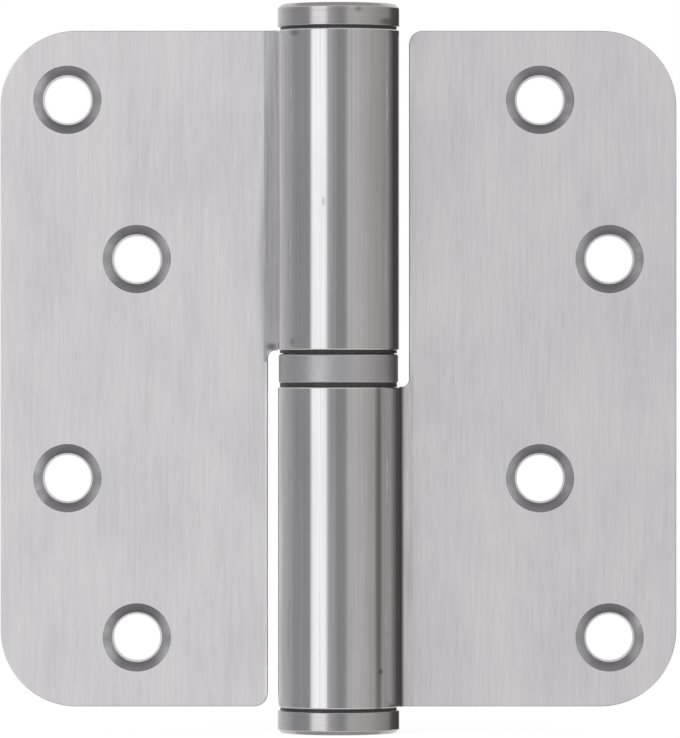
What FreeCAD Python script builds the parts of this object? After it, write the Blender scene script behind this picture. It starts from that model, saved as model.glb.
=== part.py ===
import FreeCAD, Part
import math
import os

# Ball bearing hinge with two knuckles, of the lift-off kind, laid flat and open.
# Lengths are in millimetres and angles in degrees.
# The origin is on the pin's axis at mid height. +Z runs up along the pin, +X towards the frame leaf,
# and -Y towards the side where the screw holes are countersunk.

# Leaves: two equal stampings, one turned end for end
OPEN_WIDTH = 89.0
LEAF_HEIGHT = 89.0
PLATE = 3.0  # thickness of the sheet
SET_BACK = 1.5  # from the pin's axis back to the plate's front face
BEND_R = 1.85  # inner radius where the plate turns forward into the knuckle
EDGE_GAP = 1.3  # between the plate's free edge and the other leaf's knuckle
OUTER_CORNER_R = 10.0
FREE_CORNER_R = 1.8
NOTCH_R = 1.0  # inside corner beside the knuckle
SEAM_GAP = 0.25  # between the curl's end and the bend behind it
EDGE_BREAK = 0.3  # chamfer round the front

# Countersunk screw holes, two in each of two columns
HOLE_D = 6.1
SINK_D = 9.0
SINK_ANGLE = 90.0
EDGE_TO_OUTER_COLUMN = 8.8
COLUMN_STEP = 9.15
END_TO_FIRST_ROW = 9.1
MIDDLE_ROW_SPACING = 28.86

# Pin, pressed into the lower knuckle
PIN_D = 9.88
RUNNING_CLEARANCE = 0.06  # on the radius, between the pin and what turns on it
PRESSED_END_INSET = 0.5  # how far the thicker, pressed length stops below the bearing
PIN_POINT = 0.8  # chamfer at the upper end
PIN_FOOT = 0.5  # chamfer at the lower end
PIN_END_ROOM = 0.6  # between each end of the pin and the cap's plug

# Turned caps
CAP_HEAD = 2.95
CAP_NECK = 0.4  # height of the groove between a cap's head and its knuckle
CAP_NECK_STEP = 0.35  # depth of that groove
CAP_EDGE = 0.5  # chamfer round the top of a head
PLUG_LENGTH = 5.0
PLUG_POINT = 0.6

# Thrust ball bearing between the knuckles
BEARING_SPACE = 4.8
SHELL_STEP = 0.15  # how far the ring stays inside the knuckle's outline
SHELL_LENGTH = 3.85
SHELL_SHEET = 0.4
SHELL_BREAK = 0.2
FLANGE_STEP = 0.15  # how far the races' flanges stay inside the shell's outline
RACE_CLEARANCE = 0.1  # between the upper race and the shell that it turns in
BALL_D = 1.5875
BALL_COUNT = 12
BALL_CLEARANCE = 0.03
GROOVE_DEPTH = 0.2
GROOVE_FLANK_LEAN = 35.0  # of the groove's sides, from its floor
CAGE_THICKNESS = 0.8
CAGE_CLEARANCE = 0.13  # between the cage and both the pin and the shell
POCKET_CLEARANCE = 0.07

# Sizes that follow
PIN_R = PIN_D / 2
BORE_R = PIN_R + RUNNING_CLEARANCE
KNUCKLE_R = BORE_R + PLATE
LEAF_TOP = LEAF_HEIGHT / 2
KNUCKLE_START = BEARING_SPACE / 2
FRONT_Y = SET_BACK
BACK_Y = SET_BACK + PLATE
LEAF_EDGE_X = -OPEN_WIDTH / 2
FREE_EDGE_X = -(KNUCKLE_R + EDGE_GAP)
OUTER_COLUMN_X = LEAF_EDGE_X + EDGE_TO_OUTER_COLUMN
INNER_COLUMN_X = OUTER_COLUMN_X + COLUMN_STEP
FIRST_ROW_Z = LEAF_TOP - END_TO_FIRST_ROW
MIDDLE_ROW_Z = MIDDLE_ROW_SPACING / 2
PLUG_END = LEAF_TOP - PLUG_LENGTH
PIN_END = PLUG_END - PIN_END_ROOM
BALL_R = BALL_D / 2
GROOVE_R = BALL_R + BALL_CLEARANCE
RACE_FACE = GROOVE_R - GROOVE_DEPTH
SHELL_R = KNUCKLE_R - SHELL_STEP
SHELL_INNER_R = SHELL_R - SHELL_SHEET
FLANGE_R = SHELL_R - FLANGE_STEP
SHELL_TOP = SHELL_LENGTH / 2
PITCH_R = (PIN_R + SHELL_INNER_R) / 2

AXIS = FreeCAD.Vector(0, 0, 1)
BACKWARD = FreeCAD.Vector(0, 1, 0)
ORIGIN = FreeCAD.Vector(0, 0, 0)
ON_LINE = 1e-4  # how near counts as lying on a line


def at(x, y, z=0.0):
    """A point."""
    return FreeCAD.Vector(x, y, z)


def polar(radius, angle, centre=ORIGIN):
    """A point of the XY plane at a radius and an angle from a centre."""
    turn = math.radians(angle)
    return centre + at(radius * math.cos(turn), radius * math.sin(turn))


def arc(centre, radius, start, end):
    """A circular arc in the XY plane, from one angle to another."""
    middle = (start + end) / 2
    points = [polar(radius, angle, centre) for angle in (start, middle, end)]
    return Part.Arc(*points).toShape()


def line(start, end):
    """A straight edge."""
    return Part.LineSegment(start, end).toShape()


def turned(points):
    """A solid of revolution about the pin's axis, from (radius, height) corners."""
    corners = [at(radius, 0, height) for radius, height in points]
    outline = Part.makePolygon(corners + corners[:1])
    return Part.Face(outline).revolve(ORIGIN, AXIS, 360)


def end_for_end(shape):
    """The same shape turned end for end, half a turn about the Y axis."""
    other_way_up = shape.copy()
    other_way_up.rotate(ORIGIN, BACKWARD, 180)
    return other_way_up


# Leaf

def rolled_section():
    """Cross-section of the sheet: a flat plate, a bend forward, and the curl round the pin."""
    bend_y = FRONT_Y - BEND_R
    bend_x = -math.sqrt((KNUCKLE_R + BEND_R) ** 2 - bend_y**2)
    bend = at(bend_x, bend_y)
    to_bend = 360 + math.degrees(math.atan2(bend_y, bend_x))
    bend_end = to_bend - 180
    back_bend_r = BEND_R + PLATE

    # the curl stops where its outer corner comes SEAM_GAP short of the bend's back
    reach = KNUCKLE_R + BEND_R
    clear = back_bend_r + SEAM_GAP
    cosine = (KNUCKLE_R**2 + reach**2 - clear**2) / (2 * KNUCKLE_R * reach)
    curl_end = to_bend - math.degrees(math.acos(cosine)) + 360

    outline = [
        line(at(LEAF_EDGE_X, BACK_Y), at(LEAF_EDGE_X, FRONT_Y)),
        line(at(LEAF_EDGE_X, FRONT_Y), at(bend_x, FRONT_Y)),
        arc(bend, BEND_R, 90, bend_end),
        arc(ORIGIN, KNUCKLE_R, to_bend, curl_end),
        line(polar(KNUCKLE_R, curl_end), polar(BORE_R, curl_end)),
        arc(ORIGIN, BORE_R, curl_end, to_bend),
        arc(bend, back_bend_r, bend_end, 90),
        line(at(bend_x, BACK_Y), at(LEAF_EDGE_X, BACK_Y)),
    ]
    return Part.Face(Part.Wire(outline))


def rounded_corner(corner, before, after, radius):
    """The two ends and the middle of an arc that rounds a right-angled corner of the outline."""
    start = corner + before * radius
    end = corner + after * radius
    centre = corner + (before + after) * radius
    middle = centre - (before + after).normalize() * radius
    return start, middle, end


def stamped_outline():
    """Outline of the leaf seen from the front, with the knuckle as a tab at the upper right."""
    up = at(0, 0, 1)
    down = at(0, 0, -1)
    right = at(1, 0, 0)
    left = at(-1, 0, 0)
    tab_x = 2 * KNUCKLE_R
    tab_top = at(tab_x, 0, LEAF_TOP)
    tab_bottom = at(tab_x, 0, KNUCKLE_START)
    rounds = [
        rounded_corner(at(LEAF_EDGE_X, 0, LEAF_TOP), right, down, OUTER_CORNER_R),
        rounded_corner(at(LEAF_EDGE_X, 0, -LEAF_TOP), up, right, OUTER_CORNER_R),
        rounded_corner(at(FREE_EDGE_X, 0, -LEAF_TOP), left, up, FREE_CORNER_R),
        rounded_corner(at(FREE_EDGE_X, 0, KNUCKLE_START), down, right, NOTCH_R),
    ]
    edges = []
    place = tab_top
    for start, middle, end in rounds:
        edges.append(line(place, start))
        edges.append(Part.Arc(start, middle, end).toShape())
        place = end
    edges.append(line(place, tab_bottom))
    edges.append(line(tab_bottom, tab_top))
    return Part.Face(Part.Wire(edges))


def screw_hole(x, z):
    """Cutter for one countersunk hole, opening towards the front."""
    hole_r = HOLE_D / 2
    sink_r = SINK_D / 2
    slope = math.tan(math.radians(SINK_ANGLE / 2))
    sink_depth = (sink_r - hole_r) / slope
    over = PLATE
    shaft = Part.makeCylinder(hole_r, PLATE + 2 * over, at(x, FRONT_Y - over, z), BACKWARD)
    wide_r = sink_r + over * slope
    sink = Part.makeCone(wide_r, hole_r, over + sink_depth, at(x, FRONT_Y - over, z), BACKWARD)
    return shaft.fuse(sink)


def hole_places():
    """Where the door leaf's screw holes are: the two columns are staggered."""
    return [
        (OUTER_COLUMN_X, FIRST_ROW_Z),
        (INNER_COLUMN_X, MIDDLE_ROW_Z),
        (OUTER_COLUMN_X, -MIDDLE_ROW_Z),
        (INNER_COLUMN_X, -FIRST_ROW_Z),
    ]


def is_front_rim(edge, rim):
    """Whether an edge runs round the stamping on its front, which the knuckle carries on outside."""
    middle = edge.valueAt((edge.FirstParameter + edge.LastParameter) / 2)
    in_front = middle.y < FRONT_Y + PLATE / 2
    outside = math.hypot(middle.x, middle.y) > KNUCKLE_R - PLATE / 2
    seen_from_front = Part.Vertex(middle.x, 0, middle.z)
    return in_front and outside and rim.distToShape(seen_from_front)[0] < ON_LINE


def leaf():
    """The door leaf, with its knuckle at the upper right."""
    sheet = rolled_section().extrude(AXIS * LEAF_HEIGHT)
    sheet.translate(AXIS * -LEAF_TOP)
    stamp = stamped_outline()
    blank = stamp.extrude(BACKWARD * (4 * KNUCKLE_R))
    blank.translate(BACKWARD * (-2 * KNUCKLE_R))
    plate = sheet.common(blank)
    rim = [edge for edge in plate.Edges if is_front_rim(edge, stamp.OuterWire)]
    plate = plate.makeChamfer(EDGE_BREAK, rim)
    for x, z in hole_places():
        plate = plate.cut(screw_hole(x, z))
    return plate.removeSplitter().Solids[0]


# Pin and caps

def hinge_pin():
    """Plain pin: its lower length is pressed into the knuckle, its upper length is a running fit."""
    step = -KNUCKLE_START - PRESSED_END_INSET
    return turned([
        (0, -PIN_END),
        (BORE_R - PIN_FOOT, -PIN_END),
        (BORE_R, -PIN_END + PIN_FOOT),
        (BORE_R, step - RUNNING_CLEARANCE),
        (PIN_R, step),
        (PIN_R, PIN_END - PIN_POINT),
        (PIN_R - PIN_POINT, PIN_END),
        (0, PIN_END),
    ])


def top_cap():
    """Turned cap with a plug that is pressed into the knuckle's bore."""
    head_bottom = LEAF_TOP + CAP_NECK
    head_top = head_bottom + CAP_HEAD
    neck_r = KNUCKLE_R - CAP_NECK_STEP
    return turned([
        (0, PLUG_END),
        (BORE_R - PLUG_POINT, PLUG_END),
        (BORE_R, PLUG_END + PLUG_POINT),
        (BORE_R, LEAF_TOP),
        (neck_r, LEAF_TOP),
        (neck_r, head_bottom),
        (KNUCKLE_R, head_bottom),
        (KNUCKLE_R, head_top - CAP_EDGE),
        (KNUCKLE_R - CAP_EDGE, head_top),
        (0, head_top),
    ])


# Bearing

def race(body_r, body_top):
    """Upper race: a washer with a ball groove inside the shell, and a flange between shell and knuckle."""
    lean = math.radians(GROOVE_FLANK_LEAN)
    half_floor = GROOVE_R * math.tan(lean / 2)
    half_mouth = (GROOVE_R - RACE_FACE * math.cos(lean)) / math.sin(lean)
    return turned([
        (BORE_R, RACE_FACE),
        (PITCH_R - half_mouth, RACE_FACE),
        (PITCH_R - half_floor, GROOVE_R),
        (PITCH_R + half_floor, GROOVE_R),
        (PITCH_R + half_mouth, RACE_FACE),
        (body_r, RACE_FACE),
        (body_r, body_top),
        (FLANGE_R, body_top),
        (FLANGE_R, KNUCKLE_START),
        (BORE_R, KNUCKLE_START),
    ])


def bearing_shell():
    """Thin sleeve round the bearing, held between the flanges of the two races."""
    upper_half = [
        (SHELL_R, SHELL_TOP - SHELL_BREAK),
        (SHELL_R - SHELL_BREAK, SHELL_TOP),
        (SHELL_INNER_R, SHELL_TOP),
    ]
    lower_half = [(radius, -height) for radius, height in reversed(upper_half)]
    return turned(upper_half + lower_half)


def ball_centre(index):
    """Centre of one ball on the pitch circle."""
    return polar(PITCH_R, index * 360 / BALL_COUNT)


def ball_cage():
    """Flat moulded ring with a square pocket for each ball."""
    half_thickness = CAGE_THICKNESS / 2
    inner_r = PIN_R + CAGE_CLEARANCE
    outer_r = SHELL_INNER_R - CAGE_CLEARANCE
    ring = turned([
        (inner_r, -half_thickness),
        (outer_r, -half_thickness),
        (outer_r, half_thickness),
        (inner_r, half_thickness),
    ])
    side = 2 * (BALL_R + POCKET_CLEARANCE)
    pocket = Part.makeBox(side, side, 2 * CAGE_THICKNESS, at(PITCH_R - side / 2, -side / 2, -CAGE_THICKNESS))
    pockets = []
    for index in range(BALL_COUNT):
        turned_pocket = pocket.copy()
        turned_pocket.rotate(ORIGIN, AXIS, index * 360 / BALL_COUNT)
        pockets.append(turned_pocket)
    return ring.cut(Part.makeCompound(pockets))


def ball(index):
    """One ball in its pocket."""
    return Part.makeSphere(BALL_R, ball_centre(index))


def build():
    """Every piece of the hinge by name, where it stands in the open hinge."""
    door_leaf = leaf()
    cap = top_cap()
    pieces = {
        "door_leaf": door_leaf,
        "frame_leaf": end_for_end(door_leaf),
        "hinge_pin": hinge_pin(),
        "top_cap": cap,
        "bottom_cap": end_for_end(cap),
        "bearing_shell": bearing_shell(),
        "upper_race": race(SHELL_INNER_R - RACE_CLEARANCE, SHELL_TOP + RACE_CLEARANCE),
        "lower_race": end_for_end(race(SHELL_INNER_R, SHELL_TOP)),
        "ball_cage": ball_cage(),
    }
    for index in range(BALL_COUNT):
        pieces[f"ball_{index + 1:02d}"] = ball(index)
    return pieces


os.makedirs("parts", exist_ok=True)
for name, shape in build().items():
    shape.exportStep(f"parts/{name}.step")
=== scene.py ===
import math

import bmesh
import bpy
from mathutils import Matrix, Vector


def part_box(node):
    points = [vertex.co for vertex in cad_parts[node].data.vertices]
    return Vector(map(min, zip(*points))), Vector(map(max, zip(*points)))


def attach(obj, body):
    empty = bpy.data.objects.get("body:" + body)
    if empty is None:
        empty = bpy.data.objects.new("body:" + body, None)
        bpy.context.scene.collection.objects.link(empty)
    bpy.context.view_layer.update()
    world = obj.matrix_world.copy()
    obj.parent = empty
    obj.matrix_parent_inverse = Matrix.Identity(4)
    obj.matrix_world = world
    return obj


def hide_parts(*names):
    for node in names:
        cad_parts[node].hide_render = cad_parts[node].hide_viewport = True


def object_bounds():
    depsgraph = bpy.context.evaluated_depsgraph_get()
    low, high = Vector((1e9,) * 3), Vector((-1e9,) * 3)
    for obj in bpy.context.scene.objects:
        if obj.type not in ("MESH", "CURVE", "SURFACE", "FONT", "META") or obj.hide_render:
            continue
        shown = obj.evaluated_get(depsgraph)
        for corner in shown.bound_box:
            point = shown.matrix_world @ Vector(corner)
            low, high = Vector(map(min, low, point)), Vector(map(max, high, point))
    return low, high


bl_info = {
    "name": "Ball Bearing Hinge",
    "version": (1, 0, 0),
    "blender": (4, 5, 0),
    "location": "View3D > Sidebar > Hinge",
    "description": "Dresses the CAD frame of a stainless lift-off hinge with a ball bearing",
    "category": "Add Mesh",
}

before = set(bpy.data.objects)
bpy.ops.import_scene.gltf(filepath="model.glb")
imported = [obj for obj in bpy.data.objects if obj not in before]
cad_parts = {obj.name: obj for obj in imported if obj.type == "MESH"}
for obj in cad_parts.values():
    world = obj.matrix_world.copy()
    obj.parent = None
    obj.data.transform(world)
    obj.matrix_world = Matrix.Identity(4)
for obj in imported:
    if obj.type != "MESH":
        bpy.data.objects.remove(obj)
CAD_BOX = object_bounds()

MM = 0.001
UP = Vector((0, 0, 1))
ORIGIN = Vector((0, 0, 0))
END_FOR_END = (0, math.pi, 0)  # the turn that makes the door side's part the frame side's
NEAR = 0.01 * MM  # how near counts as touching
GROOVE_NEAR = 0.1 * MM  # how near to a groove's radius its faces lie
FACING = 0.9  # a face whose normal has this much of an axis faces along it
LEANING = 0.5  # and with this much it still leans that way
WHITE = "#FFFFFF"

ROUND_STEPS = 160  # segments round a turned piece
BEND_STEPS = 20
CURL_STEPS = 132
CORNER_STEPS = 24
EDGE_STEPS = 3  # segments across a rounded edge
RACE_EDGE_STEPS = 2
BALLS = 12
BALL_SPLITS = 4  # how often the six faces that a ball starts from are split in four
FLAT_ANGLE = math.radians(0.1)  # faces nearer to one plane than this are joined
SMOOTH_ANGLE = math.radians(40)  # below the 45 degrees at a countersink's rim, which stays crisp
BREAK_ANGLE = math.radians(60)  # sharper edges than this are broken

DOOR_LOW, DOOR_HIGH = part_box("door_leaf")
SHELL_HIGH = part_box("bearing_shell")[1]
CAP_LOW, CAP_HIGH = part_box("top_cap")
PIN_LOW, PIN_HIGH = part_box("hinge_pin")
UPPER_LOW, UPPER_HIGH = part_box("upper_race")


# Sizes and colours that a user can change

def length(name, metres, description):
    """A length in metres, shown in the scene's units."""
    return bpy.props.FloatProperty(
        name=name, description=description, default=metres, min=0, precision=5, unit="LENGTH"
    )


def linear(hex_colour):
    """Linear RGBA from an sRGB hex colour."""
    channels = [int(hex_colour[i:i + 2], 16) / 255 for i in (1, 3, 5)]
    return [c / 12.92 if c <= 0.04045 else ((c + 0.055) / 1.055) ** 2.4 for c in channels] + [1]


def colour(name, hex_colour, description):
    """A colour given as sRGB hex."""
    return bpy.props.FloatVectorProperty(
        name=name, description=description, default=linear(hex_colour), size=4, min=0, max=1,
        subtype="COLOR",
    )


def amount(name, value, description):
    """A share from 0 to 1, such as a roughness."""
    return bpy.props.FloatProperty(
        name=name, description=description, default=value, min=0, max=1, subtype="FACTOR"
    )


class HingeLeafSizes(bpy.types.PropertyGroup):
    """Sizes of the two leaves, which are the same stamping"""

    sheet: length("Sheet", 3.0 * MM, "Thickness of the sheet")
    set_back: length("Set back", 1.5 * MM, "From the pin's axis back to the plate's front")
    bend_radius: length("Bend radius", 1.85 * MM, "Inner radius where the plate turns forward")
    edge_gap: length("Edge gap", 1.3 * MM, "Between a free edge and the other leaf's knuckle")
    outer_corner: length("Outer corners", 10 * MM, "Radius of the two outer corners")
    free_corner: length("Free corner", 1.8 * MM, "Radius of the corner away from the knuckle")
    notch: length("Notch", 1.0 * MM, "Radius of the inside corner beside the knuckle")
    seam_gap: length("Seam gap", 0.25 * MM, "Between the curl's end and the bend behind it")
    edge_break: length("Edge break", 0.22 * MM, "Rounding of the edges by tumbling")
    bearing_space: length("Bearing space", 4.8 * MM, "Height between the two knuckles")
    hole: length("Hole", 6.1 * MM, "Diameter of a screw hole")
    sink: length("Countersink", 9.0 * MM, "Diameter of a 90 degree countersink at the front")
    land: length("Land", 0.24 * MM, "Flat step that the punched hole leaves inside a countersink")
    edge_to_holes: length("Edge to holes", 8.8 * MM, "Outer edge to the outer column of holes")
    column_step: length("Column step", 9.15 * MM, "Between the two columns of holes")
    end_to_holes: length("End to holes", 9.1 * MM, "End of the leaf to the first row of holes")
    middle_rows: length("Middle rows", 28.86 * MM, "Between the two middle rows of holes")


class HingeTurnedSizes(bpy.types.PropertyGroup):
    """Sizes of the caps, the pin and the bearing"""

    bore: length("Bore", 5.0 * MM, "Radius of the knuckles' bore")
    clearance: length("Running clearance", 0.06 * MM, "Between the pin and what turns on it")
    neck: length("Cap neck", 0.4 * MM, "Height of the groove under a cap's head")
    neck_step: length("Neck step", 0.35 * MM, "Depth of that groove")
    cap_edge: length("Cap edge", 0.5 * MM, "Chamfer round a cap's end")
    plug_point: length("Plug point", 0.6 * MM, "Chamfer at the end of a cap's plug")
    pin_point: length("Pin point", 0.8 * MM, "Chamfer at the pin's upper end")
    pin_foot: length("Pin foot", 0.5 * MM, "Chamfer at the pin's lower end")
    pressed_inset: length("Pressed inset", 0.5 * MM, "How far the pressed length stops short")
    shell_sheet: length("Shell sheet", 0.4 * MM, "Thickness of the bearing's shell")
    shell_break: length("Shell break", 0.2 * MM, "Chamfer round the shell")
    race_clearance: length("Race clearance", 0.1 * MM, "Between the upper race and the shell")
    groove_depth: length("Groove depth", 0.2 * MM, "Depth of a race's ball groove")
    groove_floor: length("Groove floor", 0.52 * MM, "Width of the groove's floor")
    groove_mouth: length("Groove mouth", 1.09 * MM, "Width of the groove at the race's face")
    ball: length("Ball", 1.5875 * MM, "Diameter of a ball")
    soft_edge: length("Soft edge", 0.09 * MM, "Rounding of a turned edge by polishing")


class HingeFinishes(bpy.types.PropertyGroup):
    """Colours and gloss of the finishes"""

    brushed: colour("Brushed steel", "#E7E4E4", "Reflection of the door leaf")
    brushed_dark: colour("Brushed grooves", "#D5D3D5", "Reflection in its brush marks")
    # The frame leaf's steel is a darker copy of the door leaf's: painted shade.
    brushed_frame_shaded: colour("Frame leaf", "#E2DFDF", "Reflection of the frame leaf, a greyer sheet")
    brushed_frame_shaded_dark: colour("Frame leaf grooves", "#D0CED0", "Reflection in its brush marks")
    brushed_rough: amount("Brushed roughness", 0.48, "Of the leaves")
    # The door leaf's bend is darker than its plate: painted shade where it turns in beside the
    # knuckle.
    rolled: colour("Rolled steel", "#D5D4D6", "Reflection of the door leaf's bend")
    rolled_dark: colour("Rolling marks", "#C4C3C5", "Reflection in its rolling marks")
    rolled_frame: colour("Frame leaf bend", "#E6E3E3", "Reflection of the frame leaf's bend")
    rolled_frame_dark: colour("Frame leaf rolling marks", "#D2D0D1", "Reflection in its marks")
    rolled_rough: amount("Rolled roughness", 0.7, "Of the bends")
    polished: colour("Polished steel", "#D2D1D1", "Reflection of the polished knuckles")
    polished_dark: colour("Polishing lines", "#C0BFBF", "Reflection in the polishing lines")
    polished_rough: amount("Polished roughness", 0.14, "Of the knuckles")
    cut: colour("Cut steel", "#EAE9EA", "Reflection of the countersinks")
    cut_dark: colour("Cutting rings", "#CDCCCE", "Reflection in the rings left by the cutter")
    cut_rough: amount("Cut roughness", 0.24, "Of the countersinks")
    # This colour lays real marks, and painted shade too: in the narrow grooves, beside the knuckles
    # and at the countersinks' ends.
    grime_and_shade: colour("Oily grime", "#4E4C4D", "Old oil in the narrow grooves")
    # These two colour and gloss the painted shade in the narrow grooves between parts.
    groove_shade_dark: colour("Grime shade", "#353334", "Where it lies thickest")
    groove_shade_rough: amount("Grime roughness", 0.45, "Of the grime")
    lathe: colour("Turned steel", "#C5C3C3", "Reflection of the caps")
    lathe_dark: colour("Turning rings", "#B1AEAE", "Reflection in the rings left by the lathe")
    lathe_rough: amount("Turned roughness", 0.2, "Of the caps")
    satin: colour("Satin steel", "#B9B8B9", "Reflection of the bearing's shell")
    satin_dark: colour("Satin shade", "#ABAAAB", "Reflection in the satin's pits")
    satin_rough: amount("Satin roughness", 0.4, "Of the bearing's shell")
    ground: colour("Ground steel", "#C4C4C6", "Reflection of the pin and races")
    ground_dark: colour("Grinding lines", "#ABABAE", "Reflection in the grinding lines")
    ground_rough: amount("Ground roughness", 0.22, "Of the pin and races")
    ball: colour("Ball steel", "#CFCFD1", "Reflection of the lapped balls")
    ball_rough: amount("Ball roughness", 0.05, "Of the balls")
    nylon: colour("Nylon", "#E6E0D2", "Colour of the moulded cage")
    nylon_dark: colour("Nylon shade", "#D8D1C0", "Cloudiness in the moulding")
    nylon_rough: amount("Nylon roughness", 0.42, "Of the cage")


class HingeStudio(bpy.types.PropertyGroup):
    """Camera and surroundings"""

    distance: length("Camera distance", 950 * MM, "From the pin's axis to the camera")
    camera_x: length("Camera offset", 0.2 * MM, "Camera to the right of the axis")
    camera_down: length("Camera drop", 0.05 * MM, "Camera below the hinge's middle")
    picture_height: length("Picture height", 97.03 * MM, "Height in view at the pin's axis")
    tent_radius: length("Tent radius", 1200 * MM, "Of the light tent that the steel reflects")
    tent_height: length("Tent height", 2400 * MM, "Of the light tent's wall")
    stripe_height: length("Stripe height", 160 * MM, "How far up and down the clear panels reach")
    flag_near: length("Flag near edge", 9.0 * MM, "From the axis to the black flag")
    flag_full: length("Flag full to", 13.0 * MM, "From the axis to where the flag starts to fade")
    flag_far: length("Flag far edge", 26.0 * MM, "From the axis to where it has faded away")
    flag_place: length("Flag place", 1.3 * MM, "Behind the axis, just before the frame leaf")
    crease_near: length("Crease flag near edge", 8.5 * MM, "From the axis to the lower black flag")
    crease_full: length("Crease flag full to", 9.5 * MM, "From the axis to where it starts to fade")
    crease_far: length("Crease flag far edge", 17.0 * MM, "From the axis to where it is clear")
    crease_place: length("Crease flag place", 0.9 * MM, "Behind the axis, in the lower crease")
    floor: length("Floor", 6000 * MM, "Width of the floor")


SENSOR = 36.0  # the camera's sensor on its long side, in millimetres

# Light tent: azimuth round the hinge from the camera, in degrees to the right, and the grey of
# its cloth there. Narrow flags and a strip light at the hinge's height draw the long stripes.
TENT_LEVEL = 1.5
STRIPES = (
    (-176, "#D8D6D6"),
    (-131, "#BBBABC"),
    (-115, "#B0AFB1"),
    (-93, "#8C8E92"),
    (-54.5, "#86898D"),
    (-51.5, "#FDFDFF"),
    (-24, "#FDFDFF"),
    (-20, "#A5A5A8"),
    (-6, "#909195"),
    (0, "#808385"),
    (12, "#808385"),
    (18, "#AFAEAF"),
    (30, "#B3B2B2"),
    (45, "#AEACAB"),
    (75, "#9B9A99"),
    (107, "#8C8A8A"),
    (121, "#4A4646"),
    (162, "#3A3637"),
    (172, "#D8D6D6"),
)
# Above and below them the cloth is plain and pale.
SHOULDERS = (
    (-170, "#D2D0D0"),
    (-100, "#C4C3C4"),
    (-40, "#E0E0E1"),
    (30, "#E0E0E0"),
    (100, "#B4B2B2"),
    (170, "#D2D0D0"),
)
TENT_ENDS = "#9E9C9C"
FLAG_GREY = "#504C4E"

WORLD_LIGHT = 0.8  # how brightly the surroundings light, which show as 1
FLOOR_GREY = "#8A8A8A"
FLOOR_LIFT = 0.83  # what the floor glows by, so that it shows white under the lamp
LAMP_POWER = 5.0  # watts
LAMP_SIZE = 1.0  # metres
LAMP_PLACE = Vector((-0.7, -0.9, 1.3))


# Mesh work, as by hand in the viewport

def start_piece(name):
    """Names the new primitive and puts its place into its mesh."""
    piece = bpy.context.object
    piece.name = name
    piece.data.name = name
    bpy.ops.object.transform_apply(location=True, rotation=True, scale=True)
    return piece


def pick(piece):
    """Selects this piece alone and makes it active."""
    bpy.ops.object.select_all(action="DESELECT")
    bpy.context.view_layer.objects.active = piece
    piece.select_set(True)


def edit(piece, kind, wanted):
    """Opens a piece in edit mode with only the wanted faces or edges selected."""
    pick(piece)
    bpy.ops.object.mode_set(mode="EDIT")
    bpy.ops.mesh.select_mode(type=kind)
    bpy.ops.mesh.select_all(action="DESELECT")
    mesh = bmesh.from_edit_mesh(piece.data)
    for part in mesh.faces if kind == "FACE" else mesh.edges:
        if wanted(part):
            part.select_set(True)
    bmesh.update_edit_mesh(piece.data)


def everything(part):
    """Every face or edge is wanted."""
    return True


def close_mesh(piece):
    """Merges doubled points, turns the faces outwards and leaves edit mode."""
    bpy.ops.mesh.select_all(action="SELECT")
    bpy.ops.mesh.remove_doubles(threshold=NEAR)
    bpy.ops.mesh.normals_make_consistent(inside=False)
    bpy.ops.object.mode_set(mode="OBJECT")
    return piece


def apply_modifier(piece, kind, **settings):
    """Adds a modifier with its settings and applies it."""
    pick(piece)
    modifier = piece.modifiers.new(kind.lower(), kind)
    for name, value in settings.items():
        setattr(modifier, name, value)
    bpy.ops.object.modifier_apply(modifier=modifier.name)


def copy_of(piece, name, turn):
    """A copy with its own mesh, turned about the three axes through the hinge's middle."""
    pick(piece)
    bpy.ops.object.duplicate(linked=False)
    bpy.context.object.rotation_euler = turn
    return start_piece(name)


def break_edges(piece, width, segments, angle):
    """Rounds the edges that are sharper than an angle."""
    apply_modifier(
        piece, "BEVEL", width=width, segments=segments, limit_method="ANGLE", angle_limit=angle,
        use_clamp_overlap=False, miter_outer="MITER_ARC",
    )


def shade(piece):
    """Shades a piece smooth between its crisp edges."""
    pick(piece)
    bpy.ops.object.shade_smooth_by_angle(angle=SMOOTH_ANGLE)
    apply_modifier(piece, "WEIGHTED_NORMAL", keep_sharp=True)


def soften(piece, width, segments):
    """Rounds the edges of a turned piece and shades it smooth."""
    break_edges(piece, width, segments, SMOOTH_ANGLE)
    shade(piece)


def turned_piece(name, outline, hollow):
    """A piece turned about the pin's axis: a circle extruded ring by ring along an outline.

    The outline is (radius, height) corners. A hollow piece's outline comes back to its start.
    """
    bpy.ops.object.select_all(action="DESELECT")
    radius, height = outline[0]
    bpy.ops.mesh.primitive_circle_add(
        vertices=ROUND_STEPS, radius=radius, fill_type="NOTHING" if hollow else "NGON",
        location=(0, 0, height),
    )
    piece = start_piece(name)
    edit(piece, "EDGE" if hollow else "FACE", everything)
    for next_radius, next_height in outline[1:] + (outline[:1] if hollow else []):
        rise = {"value": (0, 0, next_height - height)}
        bpy.ops.mesh.extrude_region_move(TRANSFORM_OT_translate=rise)
        widening = next_radius / radius
        bpy.ops.transform.resize(
            value=(widening, widening, 1), center_override=(0, 0, next_height)
        )
        radius, height = next_radius, next_height
    return close_mesh(piece)


def dress(piece, body, node, slot, *finishes):
    """Gives a piece its finishes and the body that it rides on, and hides the CAD node that it
    stands for.
    """
    for finish in finishes:
        piece.data.materials.append(finish)
    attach(piece, body)
    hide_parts(node)


# Materials

# The real marks on these steels are a few hundredths of a millimetre wide, too fine to show in a
# picture of the whole hinge, so each grain is drawn as wide as it needs to show.
FINE_TIMES = 2.7  # how many times finer the fine marks are than the wide ones
FINE_SHARE = 0.4
CLOUD_LENGTH = 2.5  # how many times longer than wide a cloudy patch is, along the pin
TONE_LOW, TONE_HIGH = 0.36, 0.64  # noise that gives the dark and the light colour
GLOSS_LOW, GLOSS_HIGH = 0.3, 0.7  # noise that gives the dull and the glossy end
GLOSS_SPREAD = 0.08  # how far the marks take the roughness up and down

# Painted shade at the two ends of a countersink, by how far its wall faces along the pin
SINK_SHADE_FROM, SINK_SHADE_TO, SINK_SHADE_SHARE = 0.15, 0.75, 0.37

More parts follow.
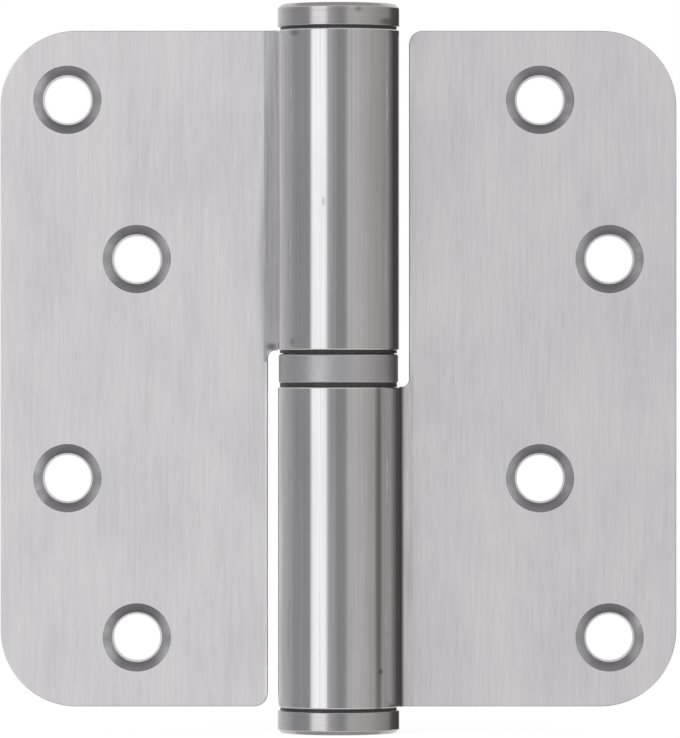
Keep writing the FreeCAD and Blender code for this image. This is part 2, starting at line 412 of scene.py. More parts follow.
# Marks that the photograph shows, each with its centre and its reach along X, Y and Z in
# millimetres, and its strength. A reach far past the hinge makes a line along the pin.
MARK_CORE = 0.2  # the share of its reach over which a mark is at full strength
PLATE_PAINTED_SHADE = (
    ((-9.6, 1.5, 13), (1.3, 3, 18), 0.3),  # painted shade on the plate just before the bend, beside the knuckle
)
BEND_SHADE_AND_MARKS = (
    ((-8.9, 0.9, 2.9), (1.1, 1.6, 0.7), 0.6),  # dark spot at the notch
    ((-9.2, 1.2, 5), (1.1, 3, 60), 0.28),  # painted shade along the start of the bend, beside the knuckle
)
UPPER_KNUCKLE_MARKS = (
    ((-5.8, -5.5, 43.9), (1.4, 1.4, 0.6), 0.35),  # smudge under the top cap
    ((-6.05, -5.24, 3.5), (0.6, 1.2, 0.8), 0.3),  # smudge over the ring
    ((-1.95, -7.76, 21.8), (0.4, 0.5, 0.9), 0.3),  # smudge on the bright stripe
)
UPPER_KNUCKLE_PAINTED_HIGHLIGHT = (
    ((-8, -1.2, 24), (0.6, 2.8, 400), 1.0),  # painted highlight along the knuckle's left side
)
LOWER_KNUCKLE_MARKS = (
    ((5.25, -6.04, -23.5), (0.85, 0.85, 60), 0.65),  # line left by rolling
    ((5.5, -5.81, -39.6), (0.55, 0.55, 0.5), 0.7),  # speck near the foot
)
LOWER_KNUCKLE_PAINTED_HIGHLIGHT = (
    ((-8, -1.2, -24), (0.6, 2.8, 400), 1.0),  # the same painted highlight
)
CREASE_PAINTED_SHADE = (
    ((8, 0, -24), (0.8, 4, 400), 0.9),  # painted shade in the crease between knuckle and leaf, along the pin
)
CAP_MARKS = (
    ((2.6, -7.56, 46.95), (0.75, 0.6, 0.5), 0.45),  # nick near the top cap's upper edge
    ((6.3, -4.9, 45.4), (2.0, 2.0, 0.7), 0.6),  # oil at its lower edge on the right
)


def add_node(tree, kind, settings):
    """Adds a node. Settings name its properties or inputs, and an output given is linked."""
    node = tree.nodes.new("ShaderNode" + kind)
    for key, value in settings.items():
        if isinstance(key, str) and hasattr(node, key):
            setattr(node, key, value)
        elif isinstance(value, bpy.types.NodeSocket):
            tree.links.new(value, node.inputs[key])
        else:
            node.inputs[key].default_value = value
    return node


def mixed_numbers(tree, share, first, second):
    """Two numbers mixed by a share. The node's inputs share names, so they go by place."""
    settings = {"data_type": "FLOAT", 0: share, 2: first, 3: second}
    return add_node(tree, "Mix", settings).outputs[0]


def mixed_colours(tree, share, first, second):
    """Two colours mixed by a share, in the same way."""
    settings = {"data_type": "RGBA", 0: share, 6: first, 7: second}
    return add_node(tree, "Mix", settings).outputs[2]


def calculated(tree, operation, first, second=0.0):
    """A number worked out from one or two others."""
    settings = {"operation": operation, 0: first, 1: second}
    return add_node(tree, "Math", settings).outputs[0]


def ramp(tree, value, low, high, start=0.0, end=1.0, kind="LINEAR"):
    """A number that goes from start to end while a value goes from low to high."""
    return add_node(tree, "MapRange", {
        "interpolation_type": kind, "Value": value, "From Min": low, "From Max": high,
        "To Min": start, "To Max": end,
    }).outputs[0]


def part_along(tree, axis, vector):
    """A vector's part along one axis."""
    return add_node(tree, "SeparateXYZ", {0: vector}).outputs[axis]


def noise(tree, place, scale, detail, roughness):
    """Noise in a place that is scaled along each axis."""
    scaled = add_node(tree, "Mapping", {"Vector": place, "Scale": scale})
    return add_node(tree, "TexNoise", {
        "Vector": scaled.outputs[0], "Scale": 1.0, "Detail": detail, "Roughness": roughness,
    }).outputs["Fac"]


def along_pin(tree):
    """Object coordinates: a grain stretched along Z runs along the pin."""
    return add_node(tree, "TexCoord", {}).outputs["Object"]


def facing(tree):
    """The way that a surface faces."""
    return add_node(tree, "TexCoord", {}).outputs["Normal"]


def round_pin(tree):
    """Radius and height about the pin's axis: a grain in these runs in rings round the pin."""
    place = along_pin(tree)
    flat = add_node(tree, "VectorMath", {"operation": "MULTIPLY", 0: place, 1: (1, 1, 0)})
    radius = add_node(tree, "VectorMath", {"operation": "LENGTH", 0: flat.outputs[0]})
    height = part_along(tree, "Z", place)
    return add_node(tree, "CombineXYZ", {"X": radius.outputs["Value"], "Z": height}).outputs[0]


def round_hole(tree):
    """Depth below the leaf's face: on a countersink's cone, a grain in it runs round the hole."""
    depth = part_along(tree, "Y", along_pin(tree))
    return add_node(tree, "CombineXYZ", {"X": depth}).outputs[0]


def grained(
    name, coordinates, light, dark, roughness, grain, cloud, depth, metallic=1.0, cloudy=0.3
):
    """A surface with a grain in two widths and a soft cloudiness.

    grain is the size of a mark along each of the three coordinates, and cloud that of the
    cloudy patches, in metres. depth is how deep the marks are, and cloudy the clouds' share.
    """
    material = bpy.data.materials.new(name)
    material.use_nodes = True
    tree = material.node_tree
    place = coordinates(tree)
    wide_marks = noise(tree, place, [1 / size for size in grain], detail=2, roughness=0.6)
    fine_marks = noise(tree, place, [FINE_TIMES / size for size in grain], detail=1, roughness=0.5)
    patch = (cloud, cloud, CLOUD_LENGTH * cloud)
    clouds = noise(tree, along_pin(tree), [1 / size for size in patch], detail=3, roughness=0.55)
    marks = mixed_numbers(tree, FINE_SHARE, wide_marks, fine_marks)
    tone = mixed_numbers(tree, cloudy, marks, clouds)
    lightness = ramp(tree, tone, TONE_LOW, TONE_HIGH)
    dullest, glossiest = roughness * (1 + GLOSS_SPREAD), roughness * (1 - GLOSS_SPREAD)
    gloss = ramp(tree, tone, GLOSS_LOW, GLOSS_HIGH, dullest, glossiest)
    relief = add_node(tree, "Bump", {"Height": marks, "Strength": 1.0, "Distance": depth})
    shader = tree.nodes["Principled BSDF"]
    shader.inputs["Metallic"].default_value = metallic
    tree.links.new(mixed_colours(tree, lightness, dark, light), shader.inputs["Base Color"])
    tree.links.new(gloss, shader.inputs["Roughness"])
    tree.links.new(relief.outputs[0], shader.inputs["Normal"])
    return material


def overlay(material, tint, share):
    """Lays a colour over a finish, by a share from 0 to 1."""
    tree = material.node_tree
    base = tree.nodes["Principled BSDF"].inputs["Base Color"]
    tree.links.new(mixed_colours(tree, share, base.links[0].from_socket, tint), base)


def marks_and_painted_light(material, tint, marks):
    """Lays soft-edged marks of one colour over a finish: real marks, and also painted shade and
    painted highlights.
    """
    tree = material.node_tree
    for centre, reach, strength in marks:
        place = add_node(tree, "VectorMath", {
            "operation": "SUBTRACT", 0: along_pin(tree), 1: [c * MM for c in centre],
        })
        away = add_node(tree, "VectorMath", {
            "operation": "DIVIDE", 0: place.outputs[0], 1: [r * MM for r in reach],
        })
        apart = add_node(tree, "VectorMath", {"operation": "LENGTH", 0: away.outputs[0]})
        distance = apart.outputs["Value"]
        fade = ramp(tree, distance, MARK_CORE, 1.0, strength, 0.0, "SMOOTHSTEP")
        overlay(material, tint, fade)


def brushed_stainless(name, finishes, light, dark, marks=()):
    """Stainless sheet brushed along the pin: soft streaks that spread the light sideways."""
    material = grained(
        name, along_pin, light, dark, finishes.brushed_rough,
        grain=(0.33 * MM, 0.33 * MM, 7 * MM), cloud=6 * MM, depth=0.003 * MM, cloudy=0.45,
    )
    marks_and_painted_light(material, finishes.grime_and_shade, marks)
    return material


def rolled_stainless(name, finishes, light, dark, marks):
    """Stainless as the rolling tool leaves it in a bend: duller than the brushed face."""
    material = grained(
        name, along_pin, light, dark, finishes.rolled_rough,
        grain=(0.5 * MM, 0.5 * MM, 12 * MM), cloud=4 * MM, depth=0.004 * MM,
    )
    marks_and_painted_light(material, finishes.grime_and_shade, marks)
    return material


def polished_stainless(name, finishes, marks, painted_highlight):
    """Stainless polished along the roll: near mirror stripes with faint lines along the pin."""
    material = grained(
        name, along_pin, finishes.polished, finishes.polished_dark, finishes.polished_rough,
        grain=(0.35 * MM, 0.35 * MM, 60 * MM), cloud=7 * MM, depth=0.0012 * MM,
    )
    marks_and_painted_light(material, finishes.grime_and_shade, marks)
    # a white painted highlight laid over the finish
    marks_and_painted_light(material, linear(WHITE), painted_highlight)
    return material


def countersunk_stainless(finishes):
    """Stainless cut by a countersink: darker rings that the cutter left round the hole.

    Painted shade darkens the two ends of each countersink, where its wall faces along the pin.
    """
    material = grained(
        "countersunk_stainless", round_hole, finishes.cut, finishes.cut_dark,
        finishes.cut_rough, grain=(0.16 * MM, 1.0, 1.0), cloud=3 * MM, depth=0.003 * MM,
    )
    tree = material.node_tree
    along = calculated(tree, "ABSOLUTE", part_along(tree, "Z", facing(tree)))
    painted_sink_shade = ramp(tree, along, SINK_SHADE_FROM, SINK_SHADE_TO, 0.0, SINK_SHADE_SHARE, "SMOOTHSTEP")
    overlay(material, finishes.grime_and_shade, painted_sink_shade)
    return material


def painted_groove_shade(finishes):
    """Painted shade in the narrow grooves between parts: nearly black, with a soft sheen."""
    return grained(
        "painted_groove_shade", along_pin, finishes.grime_and_shade, finishes.groove_shade_dark, finishes.groove_shade_rough,
        grain=(0.3 * MM, 0.3 * MM, 0.2 * MM), cloud=2 * MM, depth=0.004 * MM, metallic=0.6,
    )


def turned_stainless(finishes):
    """Stainless turned on a lathe and buffed: fine rings that blur reflections up and down."""
    material = grained(
        "turned_stainless", round_pin, finishes.lathe, finishes.lathe_dark,
        finishes.lathe_rough, grain=(0.14 * MM, 0.14 * MM, 0.14 * MM), cloud=3 * MM,
        depth=0.0022 * MM,
    )
    marks_and_painted_light(material, finishes.grime_and_shade, CAP_MARKS)
    return material


def satin_stainless(finishes):
    """Pressed stainless strip, tumbled to an even satin: a soft glow without clear stripes."""
    return grained(
        "satin_stainless", along_pin, finishes.satin, finishes.satin_dark,
        finishes.satin_rough, grain=(0.25 * MM, 0.25 * MM, 0.25 * MM), cloud=3 * MM,
        depth=0.003 * MM,
    )


def ground_steel(finishes):
    """Hardened steel ground between centres: cool, fine rings round the pin."""
    return grained(
        "ground_steel", round_pin, finishes.ground, finishes.ground_dark,
        finishes.ground_rough, grain=(0.12 * MM, 0.12 * MM, 0.12 * MM), cloud=4 * MM,
        depth=0.0015 * MM,
    )


def lapped_ball_steel(finishes):
    """Chrome steel balls lapped to a mirror, with a trace of grease haze."""
    return grained(
        "lapped_ball_steel", along_pin, finishes.ball, finishes.ground, finishes.ball_rough,
        grain=(0.3 * MM, 0.3 * MM, 0.3 * MM), cloud=0.8 * MM, depth=0.0001 * MM,
    )


def moulded_nylon(finishes):
    """Natural nylon as moulded: ivory, faintly cloudy, with a soft sheen."""
    return grained(
        "moulded_nylon", along_pin, finishes.nylon, finishes.nylon_dark, finishes.nylon_rough,
        grain=(0.2 * MM, 0.2 * MM, 0.2 * MM), cloud=1.5 * MM, depth=0.004 * MM, metallic=0.0,
    )


# Leaves

BRUSHED, POLISHED, COUNTERSUNK, ROLLED = range(4)  # a leaf's finishes, by their slots
BEND_START = 0.025  # share of its radius by which the bend's first faces lie past its centre
STRIP_END = 1.5  # how many notch radii below the knuckle's end the bend's strips are cut


def bend_centre(sizes):
    """Centre of the bend that carries the plate forward into the knuckle."""
    knuckle = -DOOR_LOW.y
    y = sizes.set_back - sizes.bend_radius
    reach = knuckle + sizes.bend_radius
    return Vector((-math.sqrt(reach**2 - y**2), y, 0))


def rolled_sheet(sizes):
    """The sheet before stamping: an oversize plate, bent forward and rolled round the bore."""
    spare = sizes.outer_corner / 2
    bend = bend_centre(sizes)
    left = DOOR_LOW.x - spare
    bpy.ops.object.select_all(action="DESELECT")
    bpy.ops.mesh.primitive_cube_add(
        size=1,
        location=((left + bend.x) / 2, sizes.set_back + sizes.sheet / 2, 0),
        scale=(bend.x - left, sizes.sheet, 2 * (DOOR_HIGH.z + spare)),
    )
    sheet = start_piece("rolled_door_leaf")

    # the plate turns forward round the bend, then the curl runs back round the bore
    knuckle = -DOOR_LOW.y
    reach = knuckle + sizes.bend_radius
    lean = math.atan2(-bend.y, -bend.x)
    clear = sizes.bend_radius + sizes.sheet + sizes.seam_gap
    cosine = (knuckle**2 + reach**2 - clear**2) / (2 * knuckle * reach)
    edit(sheet, "FACE", lambda face: face.normal.x > FACING)
    bpy.ops.mesh.spin(steps=BEND_STEPS, angle=math.pi / 2 - lean, center=bend, axis=UP)
    bpy.ops.mesh.spin(
        steps=CURL_STEPS, angle=math.acos(cosine) - 2 * math.pi, center=ORIGIN, axis=UP
    )
    return close_mesh(sheet)


def stands_at(edge, x, z):
    """Whether an edge runs straight back at a corner of the outline."""
    return all(abs(v.co.x - x) < NEAR and abs(v.co.z - z) < NEAR for v in edge.verts)


def stamping(sizes):
    """A thick slab with the leaf's outline: a plate with a tab for the knuckle."""
    free_x = DOOR_LOW.y - sizes.edge_gap
    tab_z = sizes.bearing_space / 2
    thick = 4 * sizes.outer_corner
    bpy.ops.object.select_all(action="DESELECT")
    bpy.ops.mesh.primitive_cube_add(
        size=1, location=((DOOR_LOW.x + free_x) / 2, 0, 0),
        scale=(free_x - DOOR_LOW.x, thick, 2 * DOOR_HIGH.z),
    )
    slab = start_piece("stamping")
    edit(slab, "FACE", everything)
    bpy.ops.mesh.bisect(plane_co=(0, 0, tab_z), plane_no=UP)
    bpy.ops.object.mode_set(mode="OBJECT")
    edit(slab, "FACE", lambda f: f.normal.x > FACING and f.calc_center_median().z > tab_z)
    tab = {"value": (2 * sizes.outer_corner, 0, 0)}
    bpy.ops.mesh.extrude_region_move(TRANSFORM_OT_translate=tab)
    bpy.ops.object.mode_set(mode="OBJECT")
    corners = (
        (DOOR_LOW.x, DOOR_HIGH.z, sizes.outer_corner),
        (DOOR_LOW.x, DOOR_LOW.z, sizes.outer_corner),
        (free_x, DOOR_LOW.z, sizes.free_corner),
        (free_x, tab_z, sizes.notch),
    )
    for x, z, radius in corners:
        edit(slab, "EDGE", lambda edge: stands_at(edge, x, z))
        bpy.ops.mesh.bevel(offset=radius, segments=CORNER_STEPS, affect="EDGES")
        bpy.ops.object.mode_set(mode="OBJECT")
    return slab


def hole_places(sizes):
    """Where the door leaf's screw holes are: two in each of two staggered columns."""
    outer = DOOR_LOW.x + sizes.edge_to_holes
    inner = outer + sizes.column_step
    end_row = DOOR_HIGH.z - sizes.end_to_holes
    middle_row = sizes.middle_rows / 2
    return ((outer, end_row), (inner, middle_row), (outer, -middle_row), (inner, -end_row))


def countersink(sizes):
    """Cutter for one screw hole, pointing forward along -Y."""
    front = -sizes.set_back
    hole = sizes.hole / 2
    sink = sizes.sink / 2
    over = sizes.sheet
    step = front - (sink - hole - sizes.land)
    back = front - sizes.sheet
    cutter = turned_piece("countersink", [
        (hole + sizes.edge_break + over, back - over),
        (hole, back + sizes.edge_break),
        (hole, step),
        (hole + sizes.land, step),
        (sink + over, front + over),
    ], hollow=False)
    cutter.rotation_euler.x = math.pi / 2
    return cutter


def end_bend_strips(leaf, sizes):
    """Cuts the bend's first strips below the notch.

    They run on into the leaf's lower half, which is brushed like the plate.
    """
    start = bend_centre(sizes).x
    end = sizes.bearing_space / 2 - STRIP_END * sizes.notch
    edit(leaf, "FACE", lambda f: f.calc_center_median().x > start and f.normal.y < -LEANING)
    bpy.ops.mesh.bisect(plane_co=(0, 0, end), plane_no=UP)
    close_mesh(leaf)


def door_leaf(sizes):
    """The door leaf: rolled, stamped out, tumbled and drilled."""
    leaf = rolled_sheet(sizes)
    slab = stamping(sizes)
    apply_modifier(leaf, "BOOLEAN", object=slab, operation="INTERSECT", solver="EXACT")
    bpy.data.objects.remove(slab)
    edit(leaf, "FACE", everything)
    bpy.ops.mesh.dissolve_limited(angle_limit=FLAT_ANGLE)
    close_mesh(leaf)
    end_bend_strips(leaf, sizes)
    break_edges(leaf, sizes.edge_break, EDGE_STEPS, BREAK_ANGLE)
    cutter = countersink(sizes)
    for x, z in hole_places(sizes):
        cutter.location = (x, 0, z)
        apply_modifier(leaf, "BOOLEAN", object=cutter, operation="DIFFERENCE", solver="EXACT")
    bpy.data.objects.remove(cutter)
    shade(leaf)
    return leaf


def leaf_finish(face, sizes):
    """Which finish a face of the door leaf has."""
    centre = face.calc_center_median()
    for x, z in hole_places(sizes):
        in_sink = math.hypot(centre.x - x, centre.z - z) < sizes.sink / 2
        if in_sink and abs(face.normal.y) < FACING:
            return COUNTERSUNK
    if math.hypot(centre.x, centre.y) < -DOOR_LOW.y + NEAR and centre.z > 0:
        return POLISHED
    in_bend = centre.x > bend_centre(sizes).x + BEND_START * sizes.bend_radius
    return ROLLED if in_bend and centre.z > sizes.bearing_space / 2 else BRUSHED


def sort_finishes(leaf, sizes):
    """Gives every face of the door leaf its finish."""
    mesh = bmesh.new()
    mesh.from_mesh(leaf.data)
    for face in mesh.faces:
        face.material_index = leaf_finish(face, sizes)
    mesh.to_mesh(leaf.data)
    mesh.free()


class HINGE_OT_leaves(bpy.types.Operator):
    """Rolls, stamps and drills the two leaves"""

    bl_idname = "hinge.leaves"
    bl_label = "Leaves"

    def execute(self, context):
        sizes = context.scene.hinge_leaves
        finishes = context.scene.hinge_finishes
        door = door_leaf(sizes)
        sort_finishes(door, sizes)
        other = copy_of(door, "rolled_frame_leaf", END_FOR_END)
        countersunk = countersunk_stainless(finishes)
        dress(
            door, "door_side", "door_leaf", "brushed_stainless",
            brushed_stainless(
                "brushed_stainless", finishes, finishes.brushed, finishes.brushed_dark,
                PLATE_PAINTED_SHADE,
            ),
            polished_stainless(
                "polished_stainless", finishes, UPPER_KNUCKLE_MARKS, UPPER_KNUCKLE_PAINTED_HIGHLIGHT
            ),
            countersunk,
            rolled_stainless(
                "rolled_stainless", finishes, finishes.rolled, finishes.rolled_dark, BEND_SHADE_AND_MARKS
            ),
        )
        dress(
            other, "frame_side", "frame_leaf", "brushed_stainless",
            brushed_stainless(
                "brushed_stainless_frame", finishes, finishes.brushed_frame_shaded,
                finishes.brushed_frame_shaded_dark,
            ),
            polished_stainless(
                "polished_stainless_frame", finishes, LOWER_KNUCKLE_MARKS, LOWER_KNUCKLE_PAINTED_HIGHLIGHT
            ),
            countersunk,
            rolled_stainless(
                "rolled_stainless_frame", finishes, finishes.rolled_frame,
                finishes.rolled_frame_dark, CREASE_PAINTED_SHADE,
            ),
        )
        return {"FINISHED"}


# Caps, pin and bearing

GROOVE_SHADE_SLOT = 1  # the slot of the painted groove shade on pieces that have a groove


def paint_groove_shade(piece, radius, low, high):
    """Gives painted shade to the faces that stand upright at a radius, between two heights."""
    for face in piece.data.polygons:
        centre = face.center
        at_radius = abs(math.hypot(centre.x, centre.y) - radius) < GROOVE_NEAR
        if at_radius and low < centre.z < high and abs(face.normal.z) < LEANING:
            face.material_index = GROOVE_SHADE_SLOT


class HINGE_OT_caps(bpy.types.Operator):
    """Turns the two end caps"""

    bl_idname = "hinge.caps"
    bl_label = "End caps"

    def execute(self, context):
        sizes = context.scene.hinge_turned
        finishes = context.scene.hinge_finishes
        coats = turned_stainless(finishes), painted_groove_shade(finishes)
        radius = CAP_HIGH.x
        seat = DOOR_HIGH.z
        neck = radius - sizes.neck_step
        top = turned_piece("turned_top_cap", [
            (sizes.bore - sizes.plug_point, CAP_LOW.z),
            (sizes.bore, CAP_LOW.z + sizes.plug_point),
            (sizes.bore, seat),
            (neck, seat),
            (neck, seat + sizes.neck),
            (radius, seat + sizes.neck),
            (radius, CAP_HIGH.z - sizes.cap_edge),
            (radius - sizes.cap_edge, CAP_HIGH.z),
        ], hollow=False)
        soften(top, sizes.soft_edge, EDGE_STEPS)
        paint_groove_shade(top, neck, seat, seat + sizes.neck)
        bottom = copy_of(top, "turned_bottom_cap", END_FOR_END)
        dress(top, "door_side", "top_cap", "polished_stainless", *coats)
        dress(bottom, "frame_side", "bottom_cap", "polished_stainless", *coats)
        return {"FINISHED"}


class HINGE_OT_pin(bpy.types.Operator):
    """Grinds the hinge pin"""

    bl_idname = "hinge.pin"
    bl_label = "Pin"

    def execute(self, context):
        sizes = context.scene.hinge_turned
        thin = sizes.bore - sizes.clearance
        step = -context.scene.hinge_leaves.bearing_space / 2 - sizes.pressed_inset
        pin = turned_piece("ground_hinge_pin", [
            (sizes.bore - sizes.pin_foot, PIN_LOW.z),
            (sizes.bore, PIN_LOW.z + sizes.pin_foot),
            (sizes.bore, step - sizes.clearance),
            (thin, step),
            (thin, PIN_HIGH.z - sizes.pin_point),
            (thin - sizes.pin_point, PIN_HIGH.z),
        ], hollow=False)
        soften(pin, sizes.soft_edge, EDGE_STEPS)
        steel = ground_steel(context.scene.hinge_finishes)
        dress(pin, "frame_side", "hinge_pin", "ground_steel", steel)
        return {"FINISHED"}


def pitch_radius(sizes):
    """From the pin's axis to the balls' centres, midway between the pin and the shell."""
    return (sizes.bore - sizes.clearance + SHELL_HIGH.x - sizes.shell_sheet) / 2


def race(name, sizes, body, body_top):
    """A race as the upper one stands: a washer with a ball groove below and a flange above."""
    pitch = pitch_radius(sizes)
    face = UPPER_LOW.z
    return turned_piece(name, [
        (sizes.bore, face),
        (pitch - sizes.groove_mouth / 2, face),
        (pitch - sizes.groove_floor / 2, face + sizes.groove_depth),
        (pitch + sizes.groove_floor / 2, face + sizes.groove_depth),
        (pitch + sizes.groove_mouth / 2, face),
        (body, face),
        (body, body_top),
        (UPPER_HIGH.x, body_top),
        (UPPER_HIGH.x, UPPER_HIGH.z),
        (sizes.bore, UPPER_HIGH.z),
    ], hollow=True)


class HINGE_OT_bearing(bpy.types.Operator):
    """Presses the bearing's shell and turns its two races"""

    bl_idname = "hinge.bearing"
    bl_label = "Bearing shell and races"

    def execute(self, context):
        sizes = context.scene.hinge_turned
        finishes = context.scene.hinge_finishes
        outer = SHELL_HIGH.x
        top = SHELL_HIGH.z
        inner = outer - sizes.shell_sheet
        upper_half = [
            (outer, top - sizes.shell_break),
            (outer - sizes.shell_break, top),
            (inner, top),
        ]
        lower_half = [(radius, -height) for radius, height in reversed(upper_half)]
        shell = turned_piece("pressed_bearing_shell", upper_half + lower_half, hollow=True)
        soften(shell, sizes.soft_edge, EDGE_STEPS)
        dress(shell, "frame_side", "bearing_shell", "satin_stainless", satin_stainless(finishes))

        steels = ground_steel(finishes), painted_groove_shade(finishes)
        gap = sizes.race_clearance
        upper = race("ground_upper_race", sizes, inner - gap, top + gap)
        soften(upper, sizes.soft_edge / 2, RACE_EDGE_STEPS)
        paint_groove_shade(upper, UPPER_HIGH.x, top, UPPER_HIGH.z)
        dress(upper, "bearing_top", "upper_race", "ground_steel", *steels)
        seated = race("seated_race", sizes, inner, top)
        soften(seated, sizes.soft_edge / 2, RACE_EDGE_STEPS)
        paint_groove_shade(seated, UPPER_HIGH.x, top, UPPER_HIGH.z)
        lower = copy_of(seated, "ground_lower_race", END_FOR_END)
        bpy.data.objects.remove(seated)
        dress(lower, "frame_side", "lower_race", "ground_steel", *steels)
        return {"FINISHED"}


def round_ball(name, sizes):
    """A ball beside the pin on the right: a cube split finely and cast to a sphere."""
    bpy.ops.object.select_all(action="DESELECT")
    bpy.ops.mesh.primitive_cube_add(size=sizes.ball)
    ball = start_piece(name)
    apply_modifier(
        ball, "SUBSURF", subdivision_type="SIMPLE", levels=BALL_SPLITS, render_levels=BALL_SPLITS
    )
    apply_modifier(
        ball, "CAST", cast_type="SPHERE", factor=1.0, use_radius_as_size=False, size=sizes.ball / 2
    )
    ball.location.x = pitch_radius(sizes)
    bpy.ops.object.transform_apply(location=True, rotation=True, scale=True)
    shade(ball)
    return ball


class HINGE_OT_balls(bpy.types.Operator):
    """Laps the balls, and finishes their cage, which keeps its CAD shape"""

    bl_idname = "hinge.balls"
    bl_label = "Balls and cage"

    def execute(self, context):
        sizes = context.scene.hinge_turned
        finishes = context.scene.hinge_finishes
        steel = lapped_ball_steel(finishes)
        pattern = round_ball("ball_pattern", sizes)
        for index in range(BALLS):
            node = f"ball_{index + 1:02}"
            ball = copy_of(pattern, "lapped_" + node, (0, 0, 2 * math.pi * index / BALLS))
            dress(ball, node, node, "bearing_ball", steel)
        bpy.data.objects.remove(pattern)
        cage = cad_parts["ball_cage"]
        cage.data.materials.clear()
        cage.data.materials.append(moulded_nylon(finishes))
        return {"FINISHED"}


# Studio

def bare_tree(owner):
    """The node tree of a material or a world, emptied."""
    owner.use_nodes = True
    owner.node_tree.nodes.clear()
    return owner.node_tree


def glossy_only(card):
    """Keeps a card out of sight, so that only the steel's reflections show it."""
    card.visible_camera = False
    card.visible_diffuse = False
    card.visible_shadow = False
    card.visible_transmission = False
    card.visible_volume_scatter = False


def ring_of_panels(tree, share, panels):
    """The colours of panels that stand at their azimuths round the tent."""
    wall = add_node(tree, "ValToRGB", {"Fac": share})
    stops = wall.color_ramp.elements
    stops.remove(stops[1])
    for index, (angle, grey) in enumerate(panels):
        position = (angle + 180) / 360
        stop = stops[0] if index == 0 else stops.new(position)
        stop.position = position
        stop.color = linear(grey)
    return wall.outputs["Color"]


def tent_wall(studio):
    """The light tent: pale panels and dark flags round the hinge, for the steel to mirror."""
    bpy.ops.object.select_all(action="DESELECT")
    bpy.ops.mesh.primitive_cylinder_add(
        vertices=ROUND_STEPS, radius=studio.tent_radius, depth=studio.tent_height,
        end_fill_type="NGON",
    )
    tent = start_piece("light_tent")
    glossy_only(tent)
    cloth = bpy.data.materials.new("tent_cloth")
    tree = bare_tree(cloth)
    x, y, z = (part_along(tree, axis, along_pin(tree)) for axis in "XYZ")
    azimuth = calculated(tree, "ARCTAN2", x, calculated(tree, "MULTIPLY", y, -1.0))
    share = ramp(tree, azimuth, -math.pi, math.pi)
    stripes, shoulders = (ring_of_panels(tree, share, panels) for panels in (STRIPES, SHOULDERS))
    away = calculated(tree, "ABSOLUTE", z)
    reach = studio.stripe_height
    above = ramp(tree, away, reach, 2 * reach, kind="SMOOTHSTEP")
    round_hinge = mixed_colours(tree, above, stripes, shoulders)
    end = calculated(tree, "ABSOLUTE", part_along(tree, "Z", facing(tree)))
    light = mixed_colours(tree, end, round_hinge, linear(TENT_ENDS))
    glow = add_node(tree, "Emission", {"Color": light, "Strength": TENT_LEVEL})
    add_node(tree, "OutputMaterial", {"Surface": glow.outputs[0]})
    tent.data.materials.append(cloth)


def one_sided(tree, surface, clear_share):
    """Shows a surface from its front only, and there too it is clear by a share."""
    behind = add_node(tree, "NewGeometry", {}).outputs["Backfacing"]
    share = calculated(tree, "MAXIMUM", behind, clear_share)
    clear = add_node(tree, "BsdfTransparent", {})
    both = add_node(tree, "MixShader", {0: share, 1: surface, 2: clear.outputs[0]})
    add_node(tree, "OutputMaterial", {"Surface": both.outputs[0]})


def black_flag(name, low, high, near, full, far, place):
    """A dark card close before the frame leaf, which only the knuckles' right side mirrors.

    It stands between two heights, and runs from near to far at its place behind the axis. The
    leaf behind it sees its clear back and keeps its own reflections. From full to far it fades.
    """
    bpy.ops.object.select_all(action="DESELECT")
    bpy.ops.mesh.primitive_plane_add(
        size=1, location=((near + far) / 2, place, (low + high) / 2), rotation=(math.pi / 2, 0, 0)
    )
    bpy.context.object.scale = (far - near, high - low, 1)
    flag = start_piece(name)
    glossy_only(flag)
    velvet = bpy.data.materials.new(name)
    tree = bare_tree(velvet)
    fade = ramp(tree, part_along(tree, "X", along_pin(tree)), full, far)
    dark = add_node(tree, "Emission", {"Color": linear(FLAG_GREY), "Strength": 1.0})
    one_sided(tree, dark.outputs[0], fade)
    flag.data.materials.append(velvet)


def seen_directly(tree):
    """1 for what the camera sees itself, in a mirror or through glass, and 0 for other light."""
    path = add_node(tree, "LightPath", {})
    camera, glossy, transmission = (
        path.outputs[f"Is {kind} Ray"] for kind in ("Camera", "Glossy", "Transmission")
    )
    shown = calculated(tree, "MAXIMUM", camera, glossy)
    return calculated(tree, "MAXIMUM", shown, transmission)


def white_surroundings(scene):
    """A world that shows white and lights at a plain level."""
    world = bpy.data.worlds.new("white_studio")
    scene.world = world
    tree = bare_tree(world)
    level = ramp(tree, seen_directly(tree), 0.0, 1.0, WORLD_LIGHT, 1.0)
    glow = add_node(tree, "Background", {"Color": linear(WHITE), "Strength": level})
    add_node(tree, "OutputWorld", {"Surface": glow.outputs[0]})


def pale_floor(studio):
    """A white floor at the bottom cap, which shows white and keeps the hinge's shadow.

    From below it is clear, so that the hinge shows.
    """
    bpy.ops.object.select_all(action="DESELECT")
    bpy.ops.mesh.primitive_plane_add(size=studio.floor, location=(0, 0, CAD_BOX[0].z))
    floor = start_piece("pale_floor")
    floor.visible_glossy = False
    paper = bpy.data.materials.new("white_paper")
    tree = bare_tree(paper)
    matt = add_node(tree, "BsdfDiffuse", {"Color": linear(FLOOR_GREY)})
    lift = calculated(tree, "MULTIPLY", seen_directly(tree), FLOOR_LIFT)
    glow = add_node(tree, "Emission", {"Color": linear(WHITE), "Strength": lift})
    both = add_node(tree, "AddShader", {0: matt.outputs[0], 1: glow.outputs[0]})
    one_sided(tree, both.outputs[0], 0.0)
    floor.data.materials.append(paper)


def soft_lamp():
    """A wide lamp up on the left, which gives the floor its soft shadow."""
    data = bpy.data.lights.new("soft_lamp", "AREA")
    data.energy = LAMP_POWER
    data.size = LAMP_SIZE
    lamp = bpy.data.objects.new("soft_lamp", data)
    bpy.context.scene.collection.objects.link(lamp)
    lamp.location = LAMP_PLACE
    lamp.rotation_euler = (-LAMP_PLACE).to_track_quat("-Z", "Y").to_euler()
    lamp.visible_glossy = False


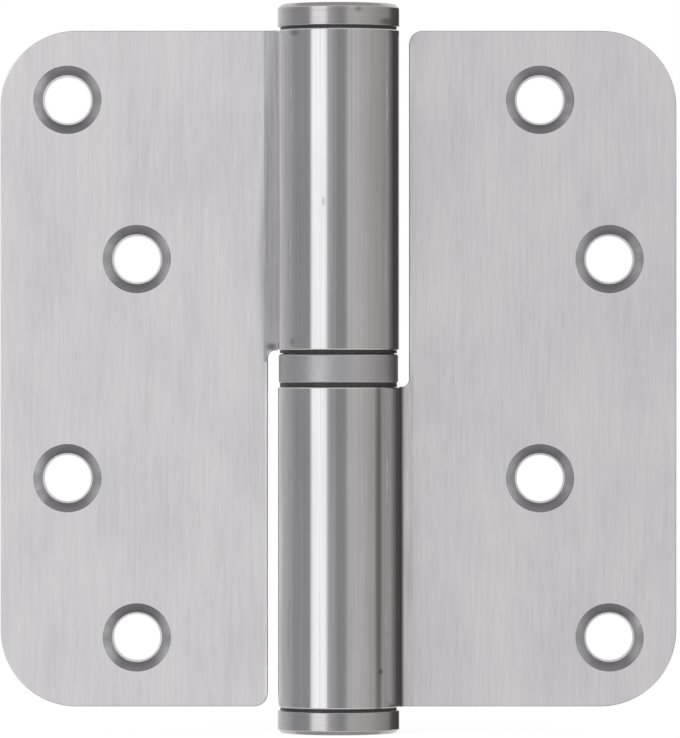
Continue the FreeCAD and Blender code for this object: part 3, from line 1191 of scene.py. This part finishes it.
class HINGE_OT_studio(bpy.types.Operator):
    """Sets the camera, the white floor and surroundings, and the light tent"""

    bl_idname = "hinge.studio"
    bl_label = "Studio"

    def execute(self, context):
        scene = context.scene
        studio = scene.hinge_studio
        data = bpy.data.cameras.new("camera")
        data.sensor_width = SENSOR
        data.lens = SENSOR * studio.distance / studio.picture_height
        camera = bpy.data.objects.new("camera", data)
        scene.collection.objects.link(camera)
        camera.location = (studio.camera_x, -studio.distance, -studio.camera_down)
        camera.rotation_euler = (math.pi / 2, 0, 0)
        scene.camera = camera
        scene.view_settings.view_transform = "Standard"
        white_surroundings(scene)
        pale_floor(studio)
        tent_wall(studio)
        # the lower one is narrower: there the leaf's own bend darkens the crease
        split = -scene.hinge_leaves.bearing_space / 2
        black_flag(
            "black_flag", split, DOOR_HIGH.z, studio.flag_near, studio.flag_full, studio.flag_far,
            studio.flag_place,
        )
        black_flag(
            "crease_flag", DOOR_LOW.z, split, studio.crease_near, studio.crease_full,
            studio.crease_far, studio.crease_place,
        )
        soft_lamp()
        return {"FINISHED"}


class HINGE_PT_pieces(bpy.types.Panel):
    """Lists what the hinge is made of"""

    bl_label = "Ball bearing hinge"
    bl_space_type = "VIEW_3D"
    bl_region_type = "UI"
    bl_category = "Hinge"

    def draw(self, context):
        for operator in OPERATORS:
            self.layout.operator(operator.bl_idname)
        for group in PROPERTY_GROUPS:
            self.layout.label(text=group.bl_rna.description)
            values = getattr(context.scene, PROPERTY_GROUPS[group])
            for name in group.__annotations__:
                self.layout.prop(values, name)


PROPERTY_GROUPS = {
    HingeLeafSizes: "hinge_leaves",
    HingeTurnedSizes: "hinge_turned",
    HingeFinishes: "hinge_finishes",
    HingeStudio: "hinge_studio",
}
OPERATORS = (
    HINGE_OT_studio, HINGE_OT_leaves, HINGE_OT_caps, HINGE_OT_pin, HINGE_OT_bearing,
    HINGE_OT_balls,
)


def register():
    """Adds the properties, the operators and the panel."""
    for group, name in PROPERTY_GROUPS.items():
        bpy.utils.register_class(group)
        setattr(bpy.types.Scene, name, bpy.props.PointerProperty(type=group))
    for operator in OPERATORS:
        bpy.utils.register_class(operator)
    bpy.utils.register_class(HINGE_PT_pieces)


def unregister():
    """Takes them away again."""
    bpy.utils.unregister_class(HINGE_PT_pieces)
    for operator in OPERATORS:
        bpy.utils.unregister_class(operator)
    for group, name in PROPERTY_GROUPS.items():
        delattr(bpy.types.Scene, name)
        bpy.utils.unregister_class(group)


def main():
    """Builds the dressed hinge."""
    register()
    bpy.ops.hinge.studio()
    bpy.ops.hinge.leaves()
    bpy.ops.hinge.caps()
    bpy.ops.hinge.pin()
    bpy.ops.hinge.bearing()
    bpy.ops.hinge.balls()


if __name__ == "__main__":
    main()
